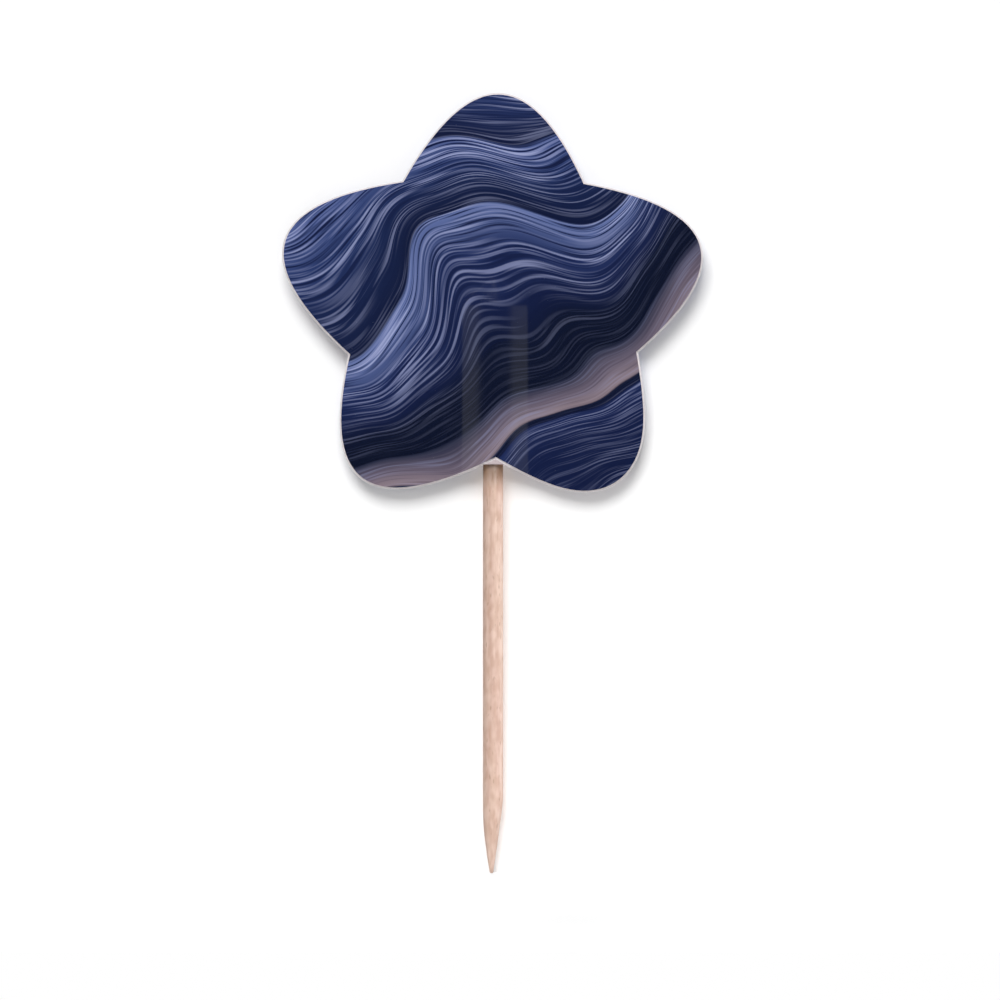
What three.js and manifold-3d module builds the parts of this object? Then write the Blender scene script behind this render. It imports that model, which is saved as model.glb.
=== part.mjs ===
// Cupcake pick: a five-lobed printed card in two layers, glued round the top of a pointed wooden stick.
// Millimetres, +Z up along the stick, front face towards -Y. The origin is on the stick's axis, level with
// the top of the cake that the pick stands in.

import * as THREE from "three";
import { mergeVertices } from "three/addons/utils/BufferGeometryUtils.js";
import Module from "manifold-3d";

// Wooden stick
const stickLength = 65;
const stickDiameter = 2.3;
const insertDepth = 25; // how far the point goes into the cake
const tipDiameter = 0.4; // the point is blunt
const coneLength = 6.8; // from the tip to where the cone's straight side would meet the shank
const pointLength = 8.4; // from the tip to where the rounded shoulder ends
const topChamfer = 0.15;

// Card outline
const lobeCount = 5;
const lobeRadius = 24.9; // from the card's centre to the middle of a lobe's edge
const topLobeRadius = 24.5; // the top lobe is a little shorter
const notchRadius = 17.5; // from the card's centre to the corner between two lobes
const gluedLength = 17.5; // of the stick, from the card's lower notch to the stick's top end

// Layers, from the middle outwards
const filmThickness = 0.1;
const cardThickness = 0.35;
const labelThickness = 0.12;
const filmInset = 0.5; // from the card's edge to the film's
const cardBorder = 0.15; // white edge of the card that shows round the label

// Arch of each card over the stick
const archReach = 2.6; // from the side of the stick to where the card is flat again
const archFade = 3; // from the stick's top end to where the card is flat again

// Glue in the wedges beside the stick
const glueRecess = 0.8; // from the card's lower edge up to the glue
const glueStop = 0.7; // from the glue to the end of the wedge
const glueWrap = 60; // degrees of the stick that the glue covers above and below its widest line

// Clearances
const stickClearance = 0.05; // round the stick
const layerClearance = 0.02; // between bonded layers
const glueClearance = 0.03; // between the glue and the cards

// Smoothness
const lobeSteps = 20;
const archSteps = 16;
const stickSides = 28;
const pointSteps = 6;
const glueSteps = 6;

const stickRadius = stickDiameter / 2;
const tipHeight = -insertDepth;
const stickTop = tipHeight + stickLength;
const centreHeight = stickTop - gluedLength + notchRadius;
const lobeAngle = (2 * Math.PI) / lobeCount;

// Distances from the middle plane of the sandwich, where the layers lie flat
const cardInner = filmThickness / 2 + layerClearance;
const labelInner = cardInner + cardThickness + layerClearance;
const archRise = stickRadius + stickClearance - cardInner;
const archHalfWidth = stickRadius + archReach;
const fadeStart = stickTop + stickClearance;
const fadeEnd = fadeStart + archFade;
const blankReach = 2 * Math.max(lobeRadius, topLobeRadius); // past every outline that is cut from a sheet

const wasm = await Module();
wasm.setup();

function toSolid(geometry) {
  geometry.deleteAttribute("normal");
  geometry.deleteAttribute("uv");
  const merged = mergeVertices(geometry);
  const mesh = new wasm.Mesh({
    numProp: 3,
    vertProperties: merged.attributes.position.array,
    triVerts: merged.index.array
  });
  return new wasm.Manifold(mesh);
}

function toGeometry(solid) {
  const mesh = solid.getMesh();
  const geometry = new THREE.BufferGeometry();
  geometry.setAttribute("position", new THREE.BufferAttribute(mesh.vertProperties, 3));
  geometry.setIndex(new THREE.BufferAttribute(mesh.triVerts, 1));
  geometry.computeVertexNormals();
  return geometry;
}

// A shape drawn in X and Z, with its zero at the card's centre, made a solid right through the sandwich
function cutter(shape) {
  const geometry = new THREE.ExtrudeGeometry(shape, {
    depth: 2 * blankReach,
    bevelEnabled: false,
    curveSegments: lobeSteps
  });
  geometry.rotateX(Math.PI / 2);
  geometry.translate(0, blankReach, centreHeight);
  return toSolid(geometry);
}

// Half the angle that a notch opens by, between its line of symmetry and the edge of a lobe
const notchAcross = notchRadius * Math.sin(lobeAngle / 2);
const notchAlong = notchRadius * Math.cos(lobeAngle / 2);
const notchHalfAngle = lobeAngle / 2 + Math.atan2(notchAcross, 2 * (lobeRadius - notchAlong));

// Each lobe is one parabola between two notches, with its middle at the lobe radius
function lobedShape(inset) {
  const pointAt = (radius, angle) => [radius * Math.sin(angle), radius * Math.cos(angle)];
  const notch = notchRadius - inset / Math.sin(notchHalfAngle);
  const shape = new THREE.Shape();
  shape.moveTo(...pointAt(notch, -lobeAngle / 2));
  for (let i = 0; i < lobeCount; i++) {
    const lobe = (i === 0 ? topLobeRadius : lobeRadius) - inset;
    const control = 2 * lobe - notch * Math.cos(lobeAngle / 2);
    const middle = i * lobeAngle;
    shape.quadraticCurveTo(...pointAt(control, middle), ...pointAt(notch, middle + lobeAngle / 2));
  }
  return shape;
}

// The lower notch is filled down to where it is as wide as the stick
const webDepth = stickRadius / Math.tan(notchHalfAngle);

function webShape() {
  const shape = new THREE.Shape();
  shape.moveTo(-stickDiameter, -notchRadius - webDepth);
  shape.lineTo(stickDiameter, -notchRadius - webDepth);
  shape.lineTo(0, -notchRadius + stickDiameter);
  return shape;
}

// Where the cards stand off each other: as wide as the arch, and pointed past the stick's top end
function pocketShape() {
  const shape = new THREE.Shape();
  shape.moveTo(-archHalfWidth, -blankReach);
  shape.lineTo(archHalfWidth, -blankReach);
  shape.lineTo(archHalfWidth, fadeStart - centreHeight);
  shape.lineTo(0, fadeEnd - centreHeight);
  shape.lineTo(-archHalfWidth, fadeStart - centreHeight);
  return shape;
}

function archLift(x) {
  return archRise * Math.max(0, 1 - (x / archHalfWidth) ** 2);
}

// Stations across a sheet: its two edges, and the arch from foot to foot
const columns = [-blankReach];
for (let i = 0; i <= archSteps; i++) {
  columns.push(archHalfWidth * ((2 * i) / archSteps - 1));
}
columns.push(blankReach);

// Stations along a sheet: past the stick's top end the arch narrows to nothing in a cone
const rows = [
  { z: centreHeight - blankReach, spread: 1, rise: 1 },
  { z: fadeStart, spread: 1, rise: 1 },
  { z: fadeEnd, spread: 0, rise: 0 },
  { z: centreHeight + blankReach, spread: 1, rise: 0 }
];

// A sheet on the front half, with its inner face this far from the middle plane and bent over the stick
function bentSheet(inner, thickness) {
  const columnSteps = columns.length - 1;
  const rowSteps = rows.length - 1;
  const sheet = new THREE.BoxGeometry(1, 1, 1, columnSteps, 1, rowSteps);
  const position = sheet.attributes.position;
  for (let i = 0; i < position.count; i++) {
    const across = columns[Math.round((position.getX(i) + 0.5) * columnSteps)];
    const row = rows[Math.round((position.getZ(i) + 0.5) * rowSteps)];
    const onEdge = Math.abs(across) === blankReach;
    const outer = position.getY(i) < 0;
    const depth = inner + (outer ? thickness : 0) + row.rise * archLift(across);
    position.setXYZ(i, onEdge ? across : across * row.spread, -depth, row.z);
  }
  return toSolid(sheet);
}

function cardGeometry() {
  const outline = cutter(lobedShape(0)).add(cutter(webShape()));
  return toGeometry(bentSheet(cardInner, cardThickness).intersect(outline));
}

function labelGeometry() {
  return toGeometry(bentSheet(labelInner, labelThickness).intersect(cutter(lobedShape(cardBorder))));
}

function filmGeometry() {
  const sheet = new THREE.BoxGeometry(2 * blankReach, filmThickness, 2 * blankReach);
  sheet.translate(0, 0, centreHeight);
  return toGeometry(toSolid(sheet).intersect(cutter(lobedShape(filmInset))).subtract(cutter(pocketShape())));
}

// Glue on the stick's right side: round the stick, then out along both cards' inner faces
function glueGeometry() {
  const wrap = THREE.MathUtils.degToRad(glueWrap);
  const ring = stickRadius + stickClearance;
  const start = ring * Math.cos(wrap);
  const end = archHalfWidth - glueStop;
  const shape = new THREE.Shape();
  shape.absarc(0, 0, ring, -wrap, wrap, false);
  for (const side of [1, -1]) {
    for (let i = 1; i <= glueSteps; i++) {
      const outwards = side > 0 ? i : glueSteps + 1 - i;
      const x = start + ((end - start) * outwards) / glueSteps;
      shape.lineTo(x, side * (cardInner + archLift(x) - glueClearance));
    }
  }
  const bottom = centreHeight - notchRadius - webDepth + glueRecess;
  const geometry = new THREE.ExtrudeGeometry(shape, {
    depth: stickTop - bottom,
    bevelEnabled: false,
    curveSegments: glueSteps
  });
  geometry.translate(0, 0, bottom);
  return geometry;
}

function stickGeometry() {
  const tip = new THREE.Vector2(tipDiameter / 2, tipHeight);
  const shoulder = new THREE.Vector2(stickRadius, tipHeight + coneLength);
  const shank = new THREE.Vector2(stickRadius, tipHeight + pointLength);
  const point = new THREE.QuadraticBezierCurve(tip, shoulder, shank);
  const profile = [
    new THREE.Vector2(0, tipHeight),
    ...point.getPoints(pointSteps),
    new THREE.Vector2(stickRadius, stickTop - topChamfer),
    new THREE.Vector2(stickRadius - topChamfer, stickTop),
    new THREE.Vector2(0, stickTop)
  ];
  const geometry = new THREE.LatheGeometry(profile, stickSides);
  geometry.rotateX(Math.PI / 2);
  return geometry;
}

function finish(color, roughness) {
  return new THREE.MeshStandardMaterial({ color, roughness, metalness: 0, flatShading: true });
}

const printedPaper = finish(0x2c3566, 0.4);
const whiteCard = finish(0xf2f0ee, 0.85);
const clearFilm = finish(0xe8e6dc, 0.3);
const driedGlue = finish(0xe6d9b8, 0.3);
const birchWood = finish(0xdbb9a2, 0.7);

const cupcakePick = new THREE.Group();

// A sub-part made for the front or the right side also serves for the other, turned half round the stick
function addPart(name, geometry, material, turned = false) {
  const mesh = new THREE.Mesh(geometry, material);
  mesh.name = name;
  mesh.rotation.z = turned ? Math.PI : 0;
  cupcakePick.add(mesh);
}

const card = cardGeometry();
const label = labelGeometry();
const glue = glueGeometry();

addPart("front_label", label, printedPaper);
addPart("front_card", card, whiteCard);
addPart("adhesive_film", filmGeometry(), clearFilm);
addPart("glue_bead_right", glue, driedGlue);
addPart("glue_bead_left", glue, driedGlue, true);
addPart("back_card", card, whiteCard, true);
addPart("back_label", label, printedPaper, true);
addPart("wood_stick", stickGeometry(), birchWood);

export default cupcakePick;
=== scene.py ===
import math

import bmesh
import bpy
from mathutils import Matrix, Vector, noise


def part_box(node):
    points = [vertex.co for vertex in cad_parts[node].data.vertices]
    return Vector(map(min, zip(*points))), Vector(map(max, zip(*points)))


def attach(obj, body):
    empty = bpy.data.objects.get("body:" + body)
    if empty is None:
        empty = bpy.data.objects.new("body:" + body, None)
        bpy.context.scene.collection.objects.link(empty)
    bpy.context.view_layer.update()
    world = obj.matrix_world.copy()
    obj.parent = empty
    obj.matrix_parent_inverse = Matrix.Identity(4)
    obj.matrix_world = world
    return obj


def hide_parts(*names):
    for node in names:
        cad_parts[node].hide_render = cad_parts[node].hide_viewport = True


# Cupcake pick: two printed five-lobed cards glued round the top of a wooden stick, against a white wall.
# Every mesh is worked out in millimetres, with Z up along the stick and the front face towards -Y,
# and is scaled to metres when it is done.

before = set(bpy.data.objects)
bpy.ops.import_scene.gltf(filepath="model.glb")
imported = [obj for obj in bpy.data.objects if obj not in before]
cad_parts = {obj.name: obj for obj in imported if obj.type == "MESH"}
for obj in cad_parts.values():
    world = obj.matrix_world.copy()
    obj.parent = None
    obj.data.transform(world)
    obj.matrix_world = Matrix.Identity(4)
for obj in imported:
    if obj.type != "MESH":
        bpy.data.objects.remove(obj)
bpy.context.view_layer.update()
millimetre = 0.001
mmPerMetre = 1000  # Object coordinates are in metres, and patterns are sized in millimetres


def linearColour(hexColour):  # sRGB hex to the linear colour that Blender's sockets take
    channels = [int(hexColour[i:i + 2], 16) / 255 for i in (1, 3, 5)]
    return [c / 12.92 if c <= 0.04045 else ((c + 0.055) / 1.055) ** 2.4 for c in channels] + [1]


# One node with its settings, its inputs and its ramp's stops in rising order. An input is a value, a socket,
# or a node, which is linked from its first output that is in use.
def addNode(tree, kind, inputs=None, stops=None, **settings):
    node = tree.nodes.new("ShaderNode" + kind)
    for name, value in settings.items():
        setattr(node, name, value)
    for socket, value in (inputs or {}).items():
        if isinstance(value, bpy.types.Node):
            value = next(output for output in value.outputs if output.enabled)
        if isinstance(value, bpy.types.NodeSocket):
            tree.links.new(value, node.inputs[socket])
        else:
            node.inputs[socket].default_value = value
    for i, (place, colour) in enumerate(stops or []):
        elements = node.color_ramp.elements
        stop = elements[i] if i < 2 else elements.new(place)
        stop.position = place
        stop.color = linearColour(colour) if isinstance(colour, str) else [colour] * 3 + [1]
    return node


def newMaterial(name):
    material = bpy.data.materials.new(name)
    material.use_nodes = True
    material.node_tree.nodes.clear()
    return material


def finishMaterial(material, shader):
    tree = material.node_tree
    addNode(tree, "OutputMaterial", {"Surface": shader})
    return material


# Turns a finished bmesh into a piece that stands for a CAD node
def makePiece(name, bm, materials, node, creaseAngle=18):
    for face in bm.faces:
        face.smooth = True
    for edge in bm.edges:
        edge.smooth = edge.calc_face_angle(0) < math.radians(creaseAngle)
    bm.transform(Matrix.Scale(millimetre, 4))
    mesh = bpy.data.meshes.new(name)
    bm.to_mesh(mesh)
    bm.free()
    for material in materials:
        mesh.materials.append(material)
    piece = bpy.data.objects.new(name, mesh)
    bpy.context.collection.objects.link(piece)
    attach(piece, "root")
    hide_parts(node)
    print(f"{name}: {len(mesh.polygons)} faces")


printLook = {
    "sheetWidth": 60,  # mm that the flat UV map spans
    "flowAngle": 31,  # degrees that the ribbons climb to the right
    "waves": [(25, 42, 34, 3), (9, 15, 6, 11)],  # along and across the ribbons and height, mm, and seed
    "thread": (9, 0.31, 20),  # length and width of the fine threads, mm, and seed
    "strand": (15, 1.6, 31),  # of the bundles that they lie in
    "threadLight": (0.48, 0.64),  # values of the threads' noise from which they turn light, and are fully so
    "threadDark": (0.48, 0.34),
    "strandLight": (0.34, 0.62),
    "threadColour": "#9aa2cb",
    "shadeColour": "#0b153a",
    "grit": 0.5,  # mm between the uneven spots of the ink
    "roughness": (0.23, 0.29),
    "relief": (0.04, 0.00002),  # strength, and height in m
    "ribbonReach": 27,  # mm that the list of ribbons spans either way from the card's centre
    # Ribbons from the lower right of the card to its upper left, and how strongly threads show on each
    "ribbons": [
        (0.00, "#0c163a", 0.2), (0.10, "#0f1b40", 0.25), (0.19, "#121e45", 0.35), (0.265, "#1f2c58", 0.5),
        (0.27, "#0a1230", 0.1), (0.285, "#0b1530", 0.12), (0.29, "#8c7c85", 0.3), (0.33, "#685e6e", 0.25),
        (0.37, "#2c3046", 0.2), (0.375, "#070f26", 0.06), (0.45, "#0a132c", 0.14), (0.49, "#101b40", 0.3),
        (0.57, "#22305e", 0.8), (0.655, "#5f6fa3", 1.0), (0.66, "#0c1636", 0.2), (0.74, "#18264e", 0.5),
        (0.80, "#2a3a6a", 0.9), (0.88, "#506096", 1.0), (0.885, "#0d1637", 0.25), (1.00, "#253463", 0.8),
    ],
}


# Coated paper, printed in four inks: a satin face that stays dark where the ink is and shines at the ridge.
# The design is a plain marbled one: silky ribbons of fine threads.
def makePrintedPaper(look):
    material = newMaterial("offset printed coated paper")
    tree = material.node_tree
    flat = addNode(tree, "UVMap", uv_map="flat")
    width = look["sheetWidth"]
    sheet = addNode(tree, "Mapping", {"Vector": flat, "Location": (-width / 2, -width / 2, 0),
                                      "Scale": (width, width, 1)})
    flow = addNode(tree, "Mapping", {"Vector": sheet, "Rotation": (0, 0, -math.radians(look["flowAngle"]))})
    for length, breadth, height, seed in look["waves"]:  # points slide across, so the ribbons bend
        place = addNode(tree, "Mapping", {"Vector": flow, "Location": (seed, 0, seed),
                                          "Scale": (1 / length, 1 / breadth, 1)})
        swell = addNode(tree, "TexNoise", {"Vector": place, "Scale": 1.0, "Detail": 0.0})
        slide = addNode(tree, "MapRange", {"Value": swell, 3: -height / 2, 4: height / 2}, clamp=False)
        shift = addNode(tree, "CombineXYZ", {"Y": slide})
        flow = addNode(tree, "VectorMath", {0: flow, 1: shift}, operation="ADD")
    streaks = []
    for length, breadth, seed in (look["thread"], look["strand"]):  # noise drawn out along the ribbons
        place = addNode(tree, "Mapping", {"Vector": flow, "Location": (seed, 0, seed),
                                          "Scale": (1 / length, 1 / breadth, 1)})
        streaks.append(addNode(tree, "TexNoise", {"Vector": place, "Scale": 1.0, "Detail": 1.0,
                                                  "Roughness": 0.55}))
    threads, strands = streaks

    axes = addNode(tree, "SeparateXYZ", {0: flow})
    reach = look["ribbonReach"]
    band = addNode(tree, "MapRange", {"Value": axes.outputs["Y"], 1: -reach, 2: reach})
    inks = addNode(tree, "ValToRGB", {0: band}, [(place, ink) for place, ink, shine in look["ribbons"]])
    shine = addNode(tree, "ValToRGB", {0: band}, [(place, shine) for place, ink, shine in look["ribbons"]])
    light, dark, bundle = [
        addNode(tree, "MapRange", {"Value": streak, 1: look[name][0], 2: look[name][1]})
        for streak, name in ((threads, "threadLight"), (threads, "threadDark"), (strands, "strandLight"))
    ]
    shaded = addNode(tree, "Math", {0: dark, 1: shine}, operation="MULTIPLY")
    bundled = addNode(tree, "Math", {0: light, 1: bundle}, operation="MULTIPLY")
    lit = addNode(tree, "Math", {0: bundled, 1: shine}, operation="MULTIPLY")
    deep = addNode(tree, "Mix", {0: shaded, 6: inks, 7: linearColour(look["shadeColour"])}, data_type="RGBA")
    silk = addNode(tree, "Mix", {0: lit, 6: deep, 7: linearColour(look["threadColour"])}, data_type="RGBA")

    mottle = addNode(tree, "TexNoise", {"Vector": sheet, "Scale": 1 / look["grit"], "Detail": 3.0})
    smooth, rough = look["roughness"]
    gloss = addNode(tree, "MapRange", {"Value": mottle, 3: smooth, 4: rough})
    strength, height = look["relief"]
    relief = addNode(tree, "Bump", {"Height": mottle, "Strength": strength, "Distance": height})
    shader = addNode(tree, "BsdfPrincipled", {"Base Color": silk, "Roughness": gloss, "Normal": relief,
                                              "IOR": 1.5})
    return finishMaterial(material, shader)


cardLook = {
    "fibre": 0.22,  # mm
    "tones": [(0.3, "#d6ced1"), (0.7, "#e7e2e3")],
    "relief": (0.25, 0.00003),  # strength, and height in m
    "webTip": (0.00031, 0.0225),  # X and Z of the notch's corner, m
    "webEdge": 0.00004,  # half the width of the painted shade's soft edge, m
    "webSides": (-0.47, 0.62),  # how steeply the notch's left and right edges fall from it
    "webPaintedShade": (0.72, 0.65, 0.66),  # what is left of the colour under the painted shade on the web
}


# Bleached card: chalky and faintly pink, with short fibres that show as a fine bump. A painted shade
# darkens the small web in the notch, up to the notch's edges.
def makeWhiteCard(look):
    material = newMaterial("bleached white card")
    tree = material.node_tree
    where = addNode(tree, "TexCoord")
    place = addNode(tree, "Mapping", {"Vector": where.outputs["Object"], "Scale": [mmPerMetre] * 3})
    fibres = addNode(tree, "TexNoise", {"Vector": place, "Scale": 1 / look["fibre"], "Detail": 4.0,
                                        "Roughness": 0.65, "Distortion": 0.6})
    tone = addNode(tree, "ValToRGB", {0: fibres}, look["tones"])
    axes = addNode(tree, "SeparateXYZ", {0: where.outputs["Object"]})
    # Painted shade on the web below the notch, bounded by the notch's edges
    tipX, tipZ = look["webTip"]
    aside = addNode(tree, "Math", {0: axes.outputs["X"], 1: tipX}, operation="SUBTRACT")
    falls = [addNode(tree, "Math", {0: aside, 1: slope}, operation="MULTIPLY") for slope in look["webSides"]]
    fall = addNode(tree, "Math", {0: falls[0], 1: falls[1]}, operation="MAXIMUM")
    level = addNode(tree, "Math", {0: axes.outputs["Z"], 1: fall}, operation="ADD")
    edge = look["webEdge"]
    web = addNode(tree, "MapRange", {"Value": level, 1: tipZ + edge, 2: tipZ - edge})
    paintedShade = addNode(tree, "Mix", {0: web, 6: (1, 1, 1, 1), 7: (*look["webPaintedShade"], 1)}, data_type="RGBA")
    toned = addNode(tree, "VectorMath", {0: tone, 1: paintedShade}, operation="MULTIPLY")
    strength, height = look["relief"]
    relief = addNode(tree, "Bump", {"Height": fibres, "Strength": strength, "Distance": height})
    shader = addNode(tree, "BsdfPrincipled", {"Base Color": toned, "Roughness": 0.88, "Normal": relief,
                                              "IOR": 1.5})
    return finishMaterial(material, shader)


filmLook = {
    "airSpot": 1.5,  # mm
    "tones": [(0.35, "#dedcd2"), (0.65, "#eceae3")],
}


# Double-sided adhesive film: clear acrylic glue on a thin carrier, faintly milky, with small air spots
def makeAdhesiveFilm(look):
    material = newMaterial("clear acrylic adhesive film")
    tree = material.node_tree
    where = addNode(tree, "TexCoord")
    place = addNode(tree, "Mapping", {"Vector": where.outputs["Object"], "Scale": [mmPerMetre] * 3})
    air = addNode(tree, "TexNoise", {"Vector": place, "Scale": 1 / look["airSpot"], "Detail": 3.0})
    tone = addNode(tree, "ValToRGB", {0: air}, look["tones"])
    shader = addNode(tree, "BsdfPrincipled", {"Base Color": tone, "Roughness": 0.25, "IOR": 1.47,
                                              "Transmission Weight": 0.3})
    return finishMaterial(material, shader)


glueLook = {
    "wrinkle": 0.7,  # mm
    "tones": [(0.3, "#dcc99c"), (0.7, "#eee3c6")],
    "relief": (0.4, 0.0001),  # strength, and height in m
}


# Dried white glue: amber-tinted and waxy, with a wrinkled skin
def makeDriedGlue(look):
    material = newMaterial("dried wood glue")
    tree = material.node_tree
    where = addNode(tree, "TexCoord")
    place = addNode(tree, "Mapping", {"Vector": where.outputs["Object"], "Scale": [mmPerMetre] * 3})
    skin = addNode(tree, "TexNoise", {"Vector": place, "Scale": 1 / look["wrinkle"], "Detail": 3.0})
    tone = addNode(tree, "ValToRGB", {0: skin}, look["tones"])
    strength, height = look["relief"]
    relief = addNode(tree, "Bump", {"Height": skin, "Strength": strength, "Distance": height})
    shader = addNode(tree, "BsdfPrincipled", {"Base Color": tone, "Roughness": 0.28, "IOR": 1.47,
                                              "Normal": relief, "Transmission Weight": 0.15})
    return finishMaterial(material, shader)


birchLook = {
    # Across the grain and along it, mm, then detail and roughness of the noise. The fibres are drawn coarser
    # than real ones, so that they show.
    "rings": (0.75, 14, 2.0, 0.5),
    "fibres": (0.3, 4.5, 2.0, 0.55),
    "blotches": (0.6, 1.5, 1.0, 0.5),
    "flecks": (0.26, 0.8, 0.0, 0.5),
    "ringTones": [(0.3, "#d0a898"), (0.52, "#dcbba7"), (0.72, "#e8cdb6")],
    "fibreTones": [(0.3, "#c29d88"), (0.7, "#f0d6c5")],
    "fibreShare": 0.4,
    "blotchTones": [(0.36, "#caa38e"), (0.64, "#ebcdbd")],
    "blotchShare": 0.45,
    "fleckColour": "#ab846c",
    "fleckShare": 0.45,
    "fleckRange": (0.68, 0.82),  # values of the noise from which a fleck begins, and is full
    "relief": (0.5, 0.00003),  # strength, and height in m
    "paintedShadeLeft": (0.8, 0.795, 0.8),  # painted shade: the left side is drawn darker
    # painted light: the right side is drawn lighter
    "paintedLightRight": (1.21, 1.24, 1.29),
    "paintedSideReach": 0.0011,  # from the axis to where each side has its full painted shade or light, m
    "paintedShadowMiddle": (0.5, 0.49, 0.47),  # what a painted shadow under the card leaves of the colour, in front
    "paintedShadowSides": (0.44, 0.37, 0.28),  # and beside the glue beads, where the painted shadow is amber
    "paintedShadowAside": (0.0003, 0.0009),  # from the axis to where the sides' tone begins and is full, m
    "paintedShadowHeights": (0.0186, 0.0212),  # heights where the painted shadow begins and is full, m
}


# Turned birch: pale and faintly pink, with fine straight grain, short darker flecks and soft blotches, and
# painted light and shade: a darker left side, a lighter right side and a painted shadow under the card
def makeBirch(look):
    material = newMaterial("turned birch")
    tree = material.node_tree
    where = addNode(tree, "TexCoord")
    grain = {}
    for name in ("rings", "fibres", "blotches", "flecks"):
        across, along, detail, roughness = look[name]
        place = addNode(tree, "Mapping", {"Vector": where.outputs["Object"],
                                          "Scale": (mmPerMetre / across, mmPerMetre / across,
                                                    mmPerMetre / along)})
        grain[name] = addNode(tree, "TexNoise", {"Vector": place, "Scale": 1.0, "Detail": detail,
                                                 "Roughness": roughness})
    ringTone = addNode(tree, "ValToRGB", {0: grain["rings"]}, look["ringTones"])
    fibreTone = addNode(tree, "ValToRGB", {0: grain["fibres"]}, look["fibreTones"])
    blotchTone = addNode(tree, "ValToRGB", {0: grain["blotches"]}, look["blotchTones"])
    grained = addNode(tree, "Mix", {0: look["fibreShare"], 6: ringTone, 7: fibreTone}, data_type="RGBA")
    mottled = addNode(tree, "Mix", {0: look["blotchShare"], 6: grained, 7: blotchTone}, data_type="RGBA")
    fleckFrom, fleckTo = look["fleckRange"]
    fleckMask = addNode(tree, "MapRange", {"Value": grain["flecks"], 1: fleckFrom, 2: fleckTo,
                                           3: 0.0, 4: look["fleckShare"]})
    flecked = addNode(tree, "Mix", {0: fleckMask, 6: mottled, 7: linearColour(look["fleckColour"])},
                      data_type="RGBA")
    axes = addNode(tree, "SeparateXYZ", {0: where.outputs["Object"]})
    reach = look["paintedSideReach"]
    # Painted light and shade: darker on the stick's left side, lighter on its right
    shadeToLight = addNode(tree, "MapRange", {"Value": axes.outputs["X"], 1: -reach, 2: reach})
    side = addNode(tree, "Mix", {0: shadeToLight, 6: (*look["paintedShadeLeft"], 1), 7: (*look["paintedLightRight"], 1)},
                   data_type="RGBA")
    turned = addNode(tree, "VectorMath", {0: flecked, 1: side}, operation="MULTIPLY")
    # Painted shadow of the card's lower edge on the stick, amber beside the glue beads
    aside = addNode(tree, "Math", {0: axes.outputs["X"]}, operation="ABSOLUTE")
    besideFrom, besideTo = look["paintedShadowAside"]
    beside = addNode(tree, "MapRange", {"Value": aside, 1: besideFrom, 2: besideTo})
    shadowTint = addNode(tree, "Mix", {0: beside, 6: (*look["paintedShadowMiddle"], 1), 7: (*look["paintedShadowSides"], 1)},
                    data_type="RGBA")
    shadowFrom, shadowTo = look["paintedShadowHeights"]
    shadowMask = addNode(tree, "MapRange", {"Value": axes.outputs["Z"], 1: shadowFrom, 2: shadowTo},
                   interpolation_type="SMOOTHSTEP")
    paintedShade = addNode(tree, "Mix", {0: shadowMask, 6: (1, 1, 1, 1), 7: shadowTint}, data_type="RGBA")
    toned = addNode(tree, "VectorMath", {0: turned, 1: paintedShade}, operation="MULTIPLY")
    strength, height = look["relief"]
    relief = addNode(tree, "Bump", {"Height": grain["fibres"], "Strength": strength, "Distance": height})
    shader = addNode(tree, "BsdfPrincipled", {"Base Color": toned, "Roughness": 0.62, "Normal": relief,
                                              "IOR": 1.5, "Sheen Weight": 0.15, "Sheen Roughness": 0.4})
    return finishMaterial(material, shader)


printedPaper = makePrintedPaper(printLook)
whiteCard = makeWhiteCard(cardLook)
adhesiveFilm = makeAdhesiveFilm(filmLook)
driedGlue = makeDriedGlue(glueLook)
birch = makeBirch(birchLook)
print("materials done")


# The wooden stick, in mm
stick = {
    "sides": 96,
    "stationGap": 0.8,  # between rings along the shank
    "pointRings": 20,
    "coneLength": 5.9,  # from the tip to where the cone's straight side would meet the shank
    "pointLength": 9,  # from the tip to where the rounded shoulder ends
    "shoulder": 1.13,  # radius that the rounded shoulder is drawn towards
    "tipRounding": [(0.2, 0.08), (0.15, 0.02), (0.07, 0)],  # radius, and height above the tip's end
    "topChamfer": 0.15,
    "tipLean": -0.18,  # how far the point is off the axis
    "leanLength": 4.5,  # from the shoulder down to where it is that far off
    "grooveDepth": 0.016,
    "grooves": (3.2, 0.07),  # per mm round the stick and along it
    "fineGrooves": (8, 0.25),
    "flats": (5, 0.02, 0.6),  # that sharpening leaves: how many, share of the radius, and turn per mm
}
stickLow, stickHigh = (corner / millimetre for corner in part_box("wood_stick"))
stickRadius = (stickHigh.x - stickLow.x) / 2
stickTop = stickHigh.z
tipHeight = stickLow.z


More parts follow.
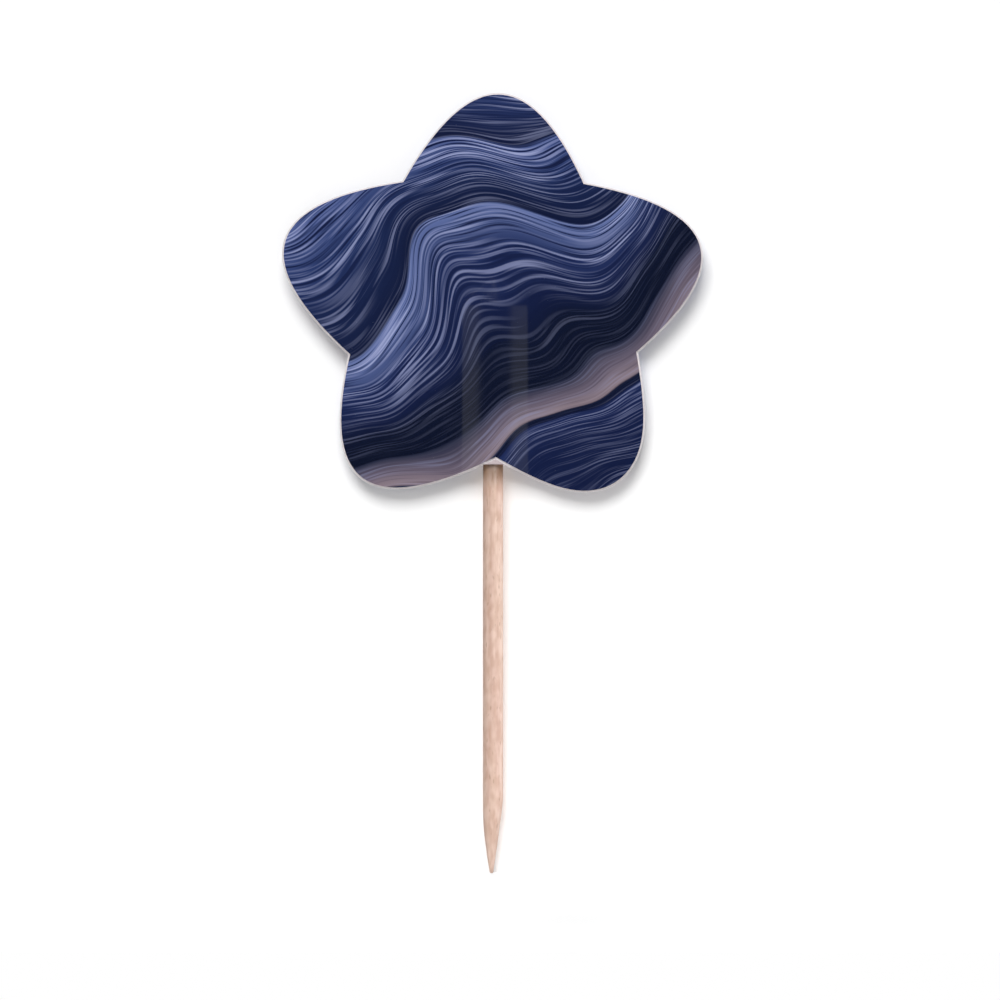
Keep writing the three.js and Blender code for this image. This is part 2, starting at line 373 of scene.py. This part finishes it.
def makeStick():
    shoulder = tipHeight + stick["pointLength"]
    control = (stick["shoulder"], tipHeight + stick["coneLength"])
    rounding = [(radius, tipHeight + height) for radius, height in stick["tipRounding"]]
    stations = [(stickRadius, stickTop - stick["topChamfer"])]
    shankRings = round((stickTop - shoulder) / stick["stationGap"])
    for i in range(1, shankRings + 1):
        stations.append((stickRadius, stickTop + (shoulder - stickTop) * i / shankRings))
    for i in range(1, stick["pointRings"] + 1):
        t = i / stick["pointRings"]
        stations.append(tuple(a * (1 - t) ** 2 + 2 * b * t * (1 - t) + c * t * t
                              for a, b, c in zip((stickRadius, shoulder), control, rounding[0])))
    stations += rounding[1:]

    bm = bmesh.new()
    radius = stickRadius - stick["topChamfer"]
    bmesh.ops.create_circle(bm, cap_ends=True, radius=radius, segments=stick["sides"],
                            matrix=Matrix.Translation((0, 0, stickTop)))
    rim = bm.edges[:]
    height = stickTop
    for nextRadius, nextHeight in stations:
        made = bmesh.ops.extrude_edge_only(bm, edges=rim)["geom"]
        ring = [g for g in made if isinstance(g, bmesh.types.BMVert)]
        rim = [g for g in made if isinstance(g, bmesh.types.BMEdge) and all(v in ring for v in g.verts)]
        shrink = nextRadius / radius
        bmesh.ops.scale(bm, vec=(shrink, shrink, 1), verts=ring)
        bmesh.ops.translate(bm, vec=(0, 0, nextHeight - height), verts=ring)
        radius, height = nextRadius, nextHeight
    bmesh.ops.contextual_create(bm, geom=rim)
    bmesh.ops.recalc_face_normals(bm, faces=bm.faces[:])

    around, along = stick["grooves"]
    fineAround, fineAlong = stick["fineGrooves"]
    flats, flatDepth, flatTurn = stick["flats"]
    for vert in bm.verts:
        co = vert.co
        point = max(0, (shoulder - co.z) / stick["pointLength"])
        lean = min(1, max(0, (shoulder - co.z) / stick["leanLength"]))
        ridge = noise.noise(Vector((co.x * around, co.y * around, co.z * along)))
        fine = noise.noise(Vector((co.x * fineAround, co.y * fineAround, co.z * fineAlong + 9)))
        groove = stick["grooveDepth"] * (ridge + 0.8 * fine)
        angle = math.atan2(co.y, co.x)
        facet = flatDepth * point * math.sin(flats * angle + flatTurn * co.z)
        stretch = 1 + groove / stickRadius + facet
        co.x = co.x * stretch + stick["tipLean"] * lean * lean * (3 - 2 * lean)
        co.y = co.y * stretch
    return bm


makePiece("stick", makeStick(), [birch], "wood_stick", creaseAngle=40)


# The card sandwich, in mm
sandwich = {
    "lobeSteps": 36,
    # Clockwise from the top: how far the middle of each lobe's edge is from the card's centre, and how many
    # degrees it is turned from its even place, then the same for the notch that follows
    "lobes": [(24.5, 1.4), (24.9, 1.3), (24.75, 0.2), (24.9, 1.0), (25.15, -0.4)],
    "fullness": [0, 0, 0.22, 0, 0],  # how far each lobe's two shoulders stand out past the curve
    "notches": [(17.7, 0.5), (17.45, -0.4), (17.5, -1.0), (17.5, -0.5), (17.8, 0.2)],
    "notchHalfAngle": 61.6,  # degrees between a notch's middle and its edges
    "filmThickness": 0.1,
    "cardThickness": 0.35,
    "labelThickness": 0.12,
    "bondGap": 0.02,  # between bonded layers
    "cardRim": 0.11,  # radius of the rims that die cutting leaves
    "labelRim": 0.03,
    "labelInset": 0.17,  # white border round the label
    "gluedLength": 17.5,  # of the stick, from the lower notch up
    "stickClearance": 0.05,
    "archReach": 2.6,  # from the stick's side to where the card is flat again
    "archFade": 3,  # from the stick's top end to where the card is flat again
    "archShift": 0.23,  # each arch sits a little to the right of the stick
    "archFoot": 0.16,  # how softly the arch runs out into the flat
    "fadeDelay": 0.3,  # how far past the stick's top end the arch begins to fall
    "fadeSoftness": 0.1,
    "fadeNarrowest": 0.15,  # share of its width that the arch keeps as it falls
    "openingFlare": 0.15,  # how much more the arch stands up at the card's lower edge
    "flareLength": 3.2,
    "warp": 0.11,  # how far the lobes bend out of plane
    "warpHold": (5, 9),  # how far from the stick they begin to bend, and over what length they do so fully
    "fineCuts": (18, 0.25),  # cuts that let a sheet bend: how many either side of the stick, and their gap
    "flatCut": 1.5,  # gap between the cuts beyond the arch
    "lowestCut": 18.5,  # height, below the card's lowest point
    "openingCut": 0.4,
}
lobeCount = len(sandwich["lobes"])
lobeAngle = 2 * math.pi / lobeCount
notchHalfAngle = math.radians(sandwich["notchHalfAngle"])
lowerNotch = sandwich["notches"][2][0]
centreHeight = stickTop - sandwich["gluedLength"] + lowerNotch
archHalfWidth = stickRadius + sandwich["archReach"]
filmHalf = sandwich["filmThickness"] / 2
cardInner = filmHalf + sandwich["bondGap"]  # from the middle plane to the card's inner face
labelInner = cardInner + sandwich["cardThickness"] + sandwich["bondGap"]
archRise = stickRadius + sandwich["stickClearance"] - cardInner
fadeStart = stickTop + sandwich["stickClearance"]
webHeight = centreHeight - lowerNotch - stickRadius / math.tan(notchHalfAngle)


# How far a sheet stands off its flat place to clear the stick: a parabola that runs out in a cone at its end
def archLift(x, z):
    flare = max(0, 1 - (z - webHeight) / sandwich["flareLength"])
    rise = archRise + sandwich["openingFlare"] * flare ** 2
    past = (z - fadeStart - sandwich["fadeDelay"]) / sandwich["archFade"]
    left = 1 - (past + math.hypot(past, sandwich["fadeSoftness"])) / 2  # of the arch, past the stick's end
    narrowing = max(left, sandwich["fadeNarrowest"])
    bow = rise * (left - ((x - sandwich["archShift"]) / archHalfWidth) ** 2 / narrowing)
    foot = sandwich["archFoot"]
    return (bow + math.sqrt(bow * bow + foot * foot)) / 2


# The whole sandwich bends in slow waves, in radians per mm, but not where it holds the stick
def cardWarp(x, z):
    holdReach, holdFade = sandwich["warpHold"]
    away = math.hypot(x, max(0, z - fadeStart)) - holdReach
    hold = min(1, max(0, away / holdFade))
    hold = hold * hold * (3 - 2 * hold)
    bend = math.sin(0.19 * x + 0.7) * math.cos(0.15 * z + 0.5) + 0.6 * math.sin(0.11 * z - 0.23 * x)
    return sandwich["warp"] * hold * bend


# A corner or middle of the outline, this many lobes clockwise from the top
def outlinePoint(measure, lobe, inset):
    radius, turn = measure
    angle = lobe * lobeAngle + math.radians(turn)
    return Vector((math.sin(angle), 0, math.cos(angle))) * (radius - inset)


# A flat face with the die-cut outline, facing -Y. Each lobe is one parabola between two notches. Both cards
# are cut in one stroke, so the back one is mirrored before it is turned round.
def cutBlank(inset, web=False, mirrored=False):
    bm = bmesh.new()
    bmesh.ops.create_circle(bm, cap_ends=True, radius=1, segments=lobeCount * sandwich["lobeSteps"])
    notchInset = inset / math.sin(notchHalfAngle)
    for vert in bm.verts:
        around = math.atan2(vert.co.x, vert.co.y) / lobeAngle
        lobe = round(around)
        t = around - lobe + 0.5
        start = outlinePoint(sandwich["notches"][(lobe - 1) % lobeCount], lobe - 0.5, notchInset)
        middle = outlinePoint(sandwich["lobes"][lobe % lobeCount], lobe, inset)
        end = outlinePoint(sandwich["notches"][lobe % lobeCount], lobe + 0.5, notchInset)
        control = (4 * middle - start - end) / 2
        place = start * (1 - t) ** 2 + control * 2 * t * (1 - t) + end * t * t
        along = (control - start) * (1 - t) + (end - control) * t
        outward = Vector((-along.z, 0, along.x)).normalized()
        place += outward * sandwich["fullness"][lobe % lobeCount] * math.sin(2 * math.pi * t) ** 2
        if web and place.z < 0 and abs(place.x) < 1.3 * stickRadius:  # fills the notch down to the web's edge
            place.z = webHeight - centreHeight
            if abs(place.x) > 0.6 * stickRadius:  # the web is as wide as the stick
                place.x = math.copysign(stickRadius, place.x)
        vert.co = (-place.x if mirrored else place.x, 0, centreHeight + place.z)
    bmesh.ops.recalc_face_normals(bm, faces=bm.faces[:])
    if bm.faces[:][0].normal.y > 0:
        bmesh.ops.reverse_faces(bm, faces=bm.faces[:])
    return bm


def cutPlane(bm, point, normal):  # splits every face that the plane meets
    geometry = bm.verts[:] + bm.edges[:] + bm.faces[:]
    bmesh.ops.bisect_plane(bm, geom=geometry, plane_co=point, plane_no=normal, dist=0.0005)


def cutAcross(bm, places, normal):
    for place in places:
        cutPlane(bm, Vector(normal) * place, normal)


def extrudeAll(bm, offset):  # makes a flat face a solid, this far along the offset
    made = bmesh.ops.extrude_face_region(bm, geom=bm.faces[:], use_keep_orig=True)["geom"]
    bmesh.ops.translate(bm, vec=offset, verts=[g for g in made if isinstance(g, bmesh.types.BMVert)])
    bmesh.ops.recalc_face_normals(bm, faces=bm.faces[:])


# Cuts that let a sheet bend: fine over the arch, at its end and at its opening, and wide apart on the flat
def cutForBending(bm):
    count, fine = sandwich["fineCuts"]
    wide = sandwich["flatCut"]
    columns = [i * fine for i in range(-count, count + 1)]
    columns += [side * (count * fine + wide * i) for side in (-1, 1) for i in range(1, 14)]
    rows = [sandwich["lowestCut"] + wide * i for i in range(32)]
    rows += [webHeight + sandwich["openingCut"] * i for i in range(1, 9)]
    rows += [fadeStart - 0.5 + fine * i for i in range(16)]
    cutAcross(bm, columns, (1, 0, 0))
    cutAcross(bm, rows, (0, 0, 1))


# A sheet of this thickness with soft die-cut rims, bent over the stick on the front or, turned half round,
# on the back
def makeSheet(inset, inner, thickness, rimRadius, web, back):
    bm = cutBlank(inset, web, back)
    extrudeAll(bm, (0, -thickness, 0))
    rims = [edge for edge in bm.edges if abs(edge.verts[0].co.y - edge.verts[1].co.y) < thickness / 2]
    bmesh.ops.bevel(bm, geom=rims, offset=rimRadius, segments=2, profile=0.5, affect="EDGES", material=-1,
                    clamp_overlap=True)
    flat = bm.loops.layers.uv.new("flat")
    cutForBending(bm)
    width = printLook["sheetWidth"]
    for face in bm.faces:
        face.material_index = 0 if face.normal.y < -0.95 else 1
        for loop in face.loops:
            co = loop.vert.co
            loop[flat].uv = (co.x / width + 0.5, (co.z - centreHeight) / width + 0.5)
    for vert in bm.verts:
        vert.co.y -= inner + archLift(vert.co.x, vert.co.z)
    if back:
        bm.transform(Matrix.Rotation(math.pi, 4, "Z"))
    for vert in bm.verts:
        vert.co.y += cardWarp(vert.co.x, vert.co.z)
    return bm


for side, back in (("front", False), ("back", True)):
    label = makeSheet(sandwich["labelInset"], labelInner, sandwich["labelThickness"], sandwich["labelRim"],
                      False, back)
    makePiece(f"{side}Print", label, [printedPaper, whiteCard], f"{side}_label")
    card = makeSheet(0, cardInner, sandwich["cardThickness"], sandwich["cardRim"], True, back)
    makePiece(f"{side}Card", card, [whiteCard, whiteCard], f"{side}_card")


# Adhesive film between the cards, open where the stick lies
film = {
    "inset": 0.5,  # mm from the card's edge
    "cut": 3,  # mm between the cuts that let it bend
}


def makeFilm():
    bm = cutBlank(film["inset"])
    cutAcross(bm, [-archHalfWidth, archHalfWidth], (1, 0, 0))
    cutAcross(bm, [fadeStart], (0, 0, 1))
    slope = Vector((sandwich["archFade"], 0, archHalfWidth)).normalized()
    for side in (-1, 1):
        cutPlane(bm, (side * archHalfWidth, 0, fadeStart), Vector((side * slope.x, 0, slope.z)))
    pocket = []
    for face in bm.faces:
        middle = face.calc_center_median()
        left = min(1, 1 - (middle.z - fadeStart) / sandwich["archFade"])
        if abs(middle.x) < archHalfWidth * left:
            pocket.append(face)
    bmesh.ops.delete(bm, geom=pocket, context="FACES")
    count, fine = sandwich["fineCuts"]
    cutAcross(bm, [sandwich["lowestCut"] + film["cut"] * i for i in range(16)], (0, 0, 1))
    cutAcross(bm, [side * (count * fine + film["cut"] * i) for side in (-1, 1) for i in range(7)], (1, 0, 0))
    bmesh.ops.translate(bm, vec=(0, filmHalf, 0), verts=bm.verts[:])
    extrudeAll(bm, (0, -2 * filmHalf, 0))
    for vert in bm.verts:
        vert.co.y += cardWarp(vert.co.x, vert.co.z)
    return bm


makePiece("adhesiveFilm", makeFilm(), [adhesiveFilm], "adhesive_film")


# Glue in the wedges beside the stick, in mm
glue = {
    "recess": 0.8,  # from the card's lower edge up to the glue
    "stop": 0.7,  # from the glue to the end of the wedge
    "wrap": 60,  # degrees of the stick covered above and below its widest line
    "clearance": 0.03,
    "steps": 10,
    "meniscus": 0.55,  # how far the glue's ends are drawn in
    "endShares": (0.35, 0.3, 0.2),  # of the meniscus, at each of the end's rings
    "endInset": 0.12,  # between those rings
    "rings": 40,
    "swells": (0.5, 0.6, 0.25),  # slow swells of the outer side: per mm across and along, and how strong
}


def makeGlueBead(left):
    ring = stickRadius + sandwich["stickClearance"]
    wrap = math.radians(glue["wrap"])
    steps = glue["steps"]
    outline = []
    for i in range(2 * steps + 1):
        angle = wrap * (i / steps - 1)
        outline.append((ring * math.cos(angle), ring * math.sin(angle)))
    nearEnd, farEnd = ring * math.cos(wrap), archHalfWidth - glue["stop"]
    for i in list(range(1, steps + 1)) + list(range(-steps, 0)):
        x = nearEnd + (farEnd - nearEnd) * abs(i) / steps
        lift = archRise * (1 - ((x + sandwich["archShift"]) / archHalfWidth) ** 2)
        outline.append((x, math.copysign(cardInner + lift - glue["clearance"], i)))
    bottom = webHeight + glue["recess"]
    length = stickTop - bottom
    bm = bmesh.new()
    bm.faces.new([bm.verts.new((x, y, bottom)) for x, y in outline])
    extrudeAll(bm, (0, 0, length))
    cutAcross(bm, [bottom + length * i / glue["rings"] for i in range(1, glue["rings"])], (0, 0, 1))
    ends = [face for face in bm.faces if abs(face.normal.z) > 0.5]
    for share in glue["endShares"]:
        bmesh.ops.inset_individual(bm, faces=ends, thickness=glue["endInset"], use_even_offset=False)
        for face in ends:
            inwards = 1 if face.calc_center_median().z < bottom + length / 2 else -1
            bmesh.ops.translate(bm, vec=(0, 0, inwards * share * glue["meniscus"]), verts=face.verts[:])
    across, along, strength = glue["swells"]
    for vert in bm.verts:
        co = vert.co
        swell = noise.noise(Vector((co.x * across, co.y * across, co.z * along)))
        if co.x > ring:
            co.x += strength * swell * (co.x - ring)
    if left:
        bm.transform(Matrix.Rotation(math.pi, 4, "Z"))
    return bm


for side, left in (("Right", False), ("Left", True)):
    makePiece(f"glueBead{side}", makeGlueBead(left), [driedGlue], f"glue_bead_{side.lower()}",
              creaseAngle=40)
print("pieces done")


# Studio: a white wall and floor, and softboxes round the object
studio = {
    "wallGap": 0.96,  # from the stick's point to the wall behind, mm
    "wallLean": 0.022,  # how fast that gap grows upwards
    "wallTurn": 0.5,  # degrees that the wall faces to the left, so that it is clear from the right side
    "wall": (-60, 62, 80),  # left, right and top edge of the wall, mm
    "wallColour": "#fbfbfb",
    "wallLift": 0.06,  # what the eye sees on top of the light that the paper returns
    "floorHalf": 100,
    "floorColour": "#cccccc",
    "floorLift": 0.36,
    "room": 0.2,  # even light of the room
    "roomGloss": 0.04,  # what a satin face mirrors of it
    "aimHeight": 30,  # mm, where the softboxes point
    # name, azimuth, elevation, distance in m, half width and half height in degrees, radiance, glare.
    # Those without a glare are polarised, as for any glossy print. The strips give the ridge its sheen.
    "softboxes": [
        ("key", -11, 38, 0.9, 16, 15, 9.4, False),
        ("stripRight", 50, 2, 0.8, 17, 12, 0.5, True),
        ("stripLeft", -50, 2, 0.8, 17, 12, 0.5, True),
        ("sideRight", 97, 10, 0.8, 24, 32, 1.8, False),
        ("backKey", 187, 38, 0.9, 13, 15, 11.5, False),
        ("backStripRight", 130, 2, 0.8, 17, 12, 0.5, True),
        ("backStripLeft", -130, 2, 0.8, 17, 12, 0.5, True),
    ],
}


# White seamless paper. The lift makes it clip to white for the eye, and keeps the shadows on it.
# A one-sided sheet is clear from behind, so the object's back can be seen.
def makeBackdropPaper(name, colour, lift, oneSided):
    material = newMaterial(name)
    tree = material.node_tree
    paper = addNode(tree, "BsdfDiffuse", {"Color": linearColour(colour)})
    rays = addNode(tree, "LightPath")
    shown = addNode(tree, "Math", {0: rays.outputs["Is Camera Ray"], 1: rays.outputs["Is Transmission Ray"]},
                    operation="MAXIMUM")
    amount = addNode(tree, "Math", {0: shown, 1: lift}, operation="MULTIPLY")
    glow = addNode(tree, "Emission", {"Color": (1, 1, 1, 1), "Strength": amount})
    shader = addNode(tree, "AddShader", {0: paper, 1: glow})
    if oneSided:
        side = addNode(tree, "NewGeometry")
        clear = addNode(tree, "BsdfTransparent")
        shader = addNode(tree, "MixShader", {0: side.outputs["Backfacing"], 1: shader, 2: clear})
    return finishMaterial(material, shader)


def addStageSheet(name, material, corners):  # a flat rectangle of paper, corners in mm
    bm = bmesh.new()
    bm.faces.new([bm.verts.new(Vector(corner) * millimetre) for corner in corners])
    mesh = bpy.data.meshes.new(name)
    bm.to_mesh(mesh)
    bm.free()
    mesh.materials.append(material)
    sheet = bpy.data.objects.new(name, mesh)
    bpy.context.collection.objects.link(sheet)
    return sheet


half = studio["floorHalf"]
floorPaper = makeBackdropPaper("white floor paper", studio["floorColour"], studio["floorLift"], False)
addStageSheet("floor", floorPaper, [(-half, -half, tipHeight), (half, -half, tipHeight),
                                    (half, half, tipHeight), (-half, half, tipHeight)])
wallLeft, wallRight, wallTop = studio["wall"]
wallPaper = makeBackdropPaper("white wall paper", studio["wallColour"], studio["wallLift"], True)
turn = math.tan(math.radians(studio["wallTurn"]))
corners = []
for x, z in ((wallLeft, tipHeight), (wallRight, tipHeight), (wallRight, wallTop), (wallLeft, wallTop)):
    corners.append((x, studio["wallGap"] + studio["wallLean"] * (z - tipHeight) - turn * x, z))
wall = addStageSheet("wall", wallPaper, corners)
wall.visible_shadow = False
wall.visible_diffuse = False
wall.visible_glossy = False

world = bpy.data.worlds.new("studio")
bpy.context.scene.world = world
world.use_nodes = True
tree = world.node_tree
tree.nodes.clear()
rays = addNode(tree, "LightPath")
shown = addNode(tree, "Math", {0: rays.outputs["Is Camera Ray"], 1: rays.outputs["Is Transmission Ray"]},
                operation="MAXIMUM")
dim = addNode(tree, "Mix", {0: rays.outputs["Is Glossy Ray"], 6: [studio["room"]] * 3 + [1],
                            7: [studio["roomGloss"]] * 3 + [1]}, data_type="RGBA")
colour = addNode(tree, "Mix", {0: shown, 6: dim, 7: (1, 1, 1, 1)}, data_type="RGBA")
background = addNode(tree, "Background", {"Color": colour, "Strength": 1.0})
addNode(tree, "OutputWorld", {"Surface": background})

aim = Vector((0, 0, studio["aimHeight"])) * millimetre
for name, azimuth, elevation, distance, halfWidth, halfHeight, radiance, glare in studio["softboxes"]:
    lamp = bpy.data.lights.new(name, "AREA")
    lamp.shape = "RECTANGLE"
    lamp.size = 2 * distance * math.tan(math.radians(halfWidth))
    lamp.size_y = 2 * distance * math.tan(math.radians(halfHeight))
    lamp.energy = radiance * math.pi * lamp.size * lamp.size_y
    softbox = bpy.data.objects.new(name, lamp)
    a, e = math.radians(azimuth), math.radians(elevation)
    towards = Vector((math.sin(a) * math.cos(e), -math.cos(a) * math.cos(e), math.sin(e)))
    softbox.location = aim + towards * distance
    softbox.rotation_euler = towards.to_track_quat("Z", "Y").to_euler()
    softbox.visible_camera = False
    softbox.visible_glossy = glare
    bpy.context.collection.objects.link(softbox)

view = {
    "lens": 180,
    "sensor": 36,
    "width": 114.76,  # mm across the picture at the card
    "middle": (0.8, 17.81),  # X and Z at the picture's centre, mm
}
cameraData = bpy.data.cameras.new("camera")
cameraData.lens = view["lens"]
cameraData.sensor_width = view["sensor"]
camera = bpy.data.objects.new("camera", cameraData)
distance = view["width"] * view["lens"] / view["sensor"]
camera.location = Vector((view["middle"][0], -distance, view["middle"][1])) * millimetre
camera.rotation_euler = (math.pi / 2, 0, 0)
bpy.context.collection.objects.link(camera)
bpy.context.scene.camera = camera
bpy.context.scene.view_settings.view_transform = "Standard"
print("studio done")
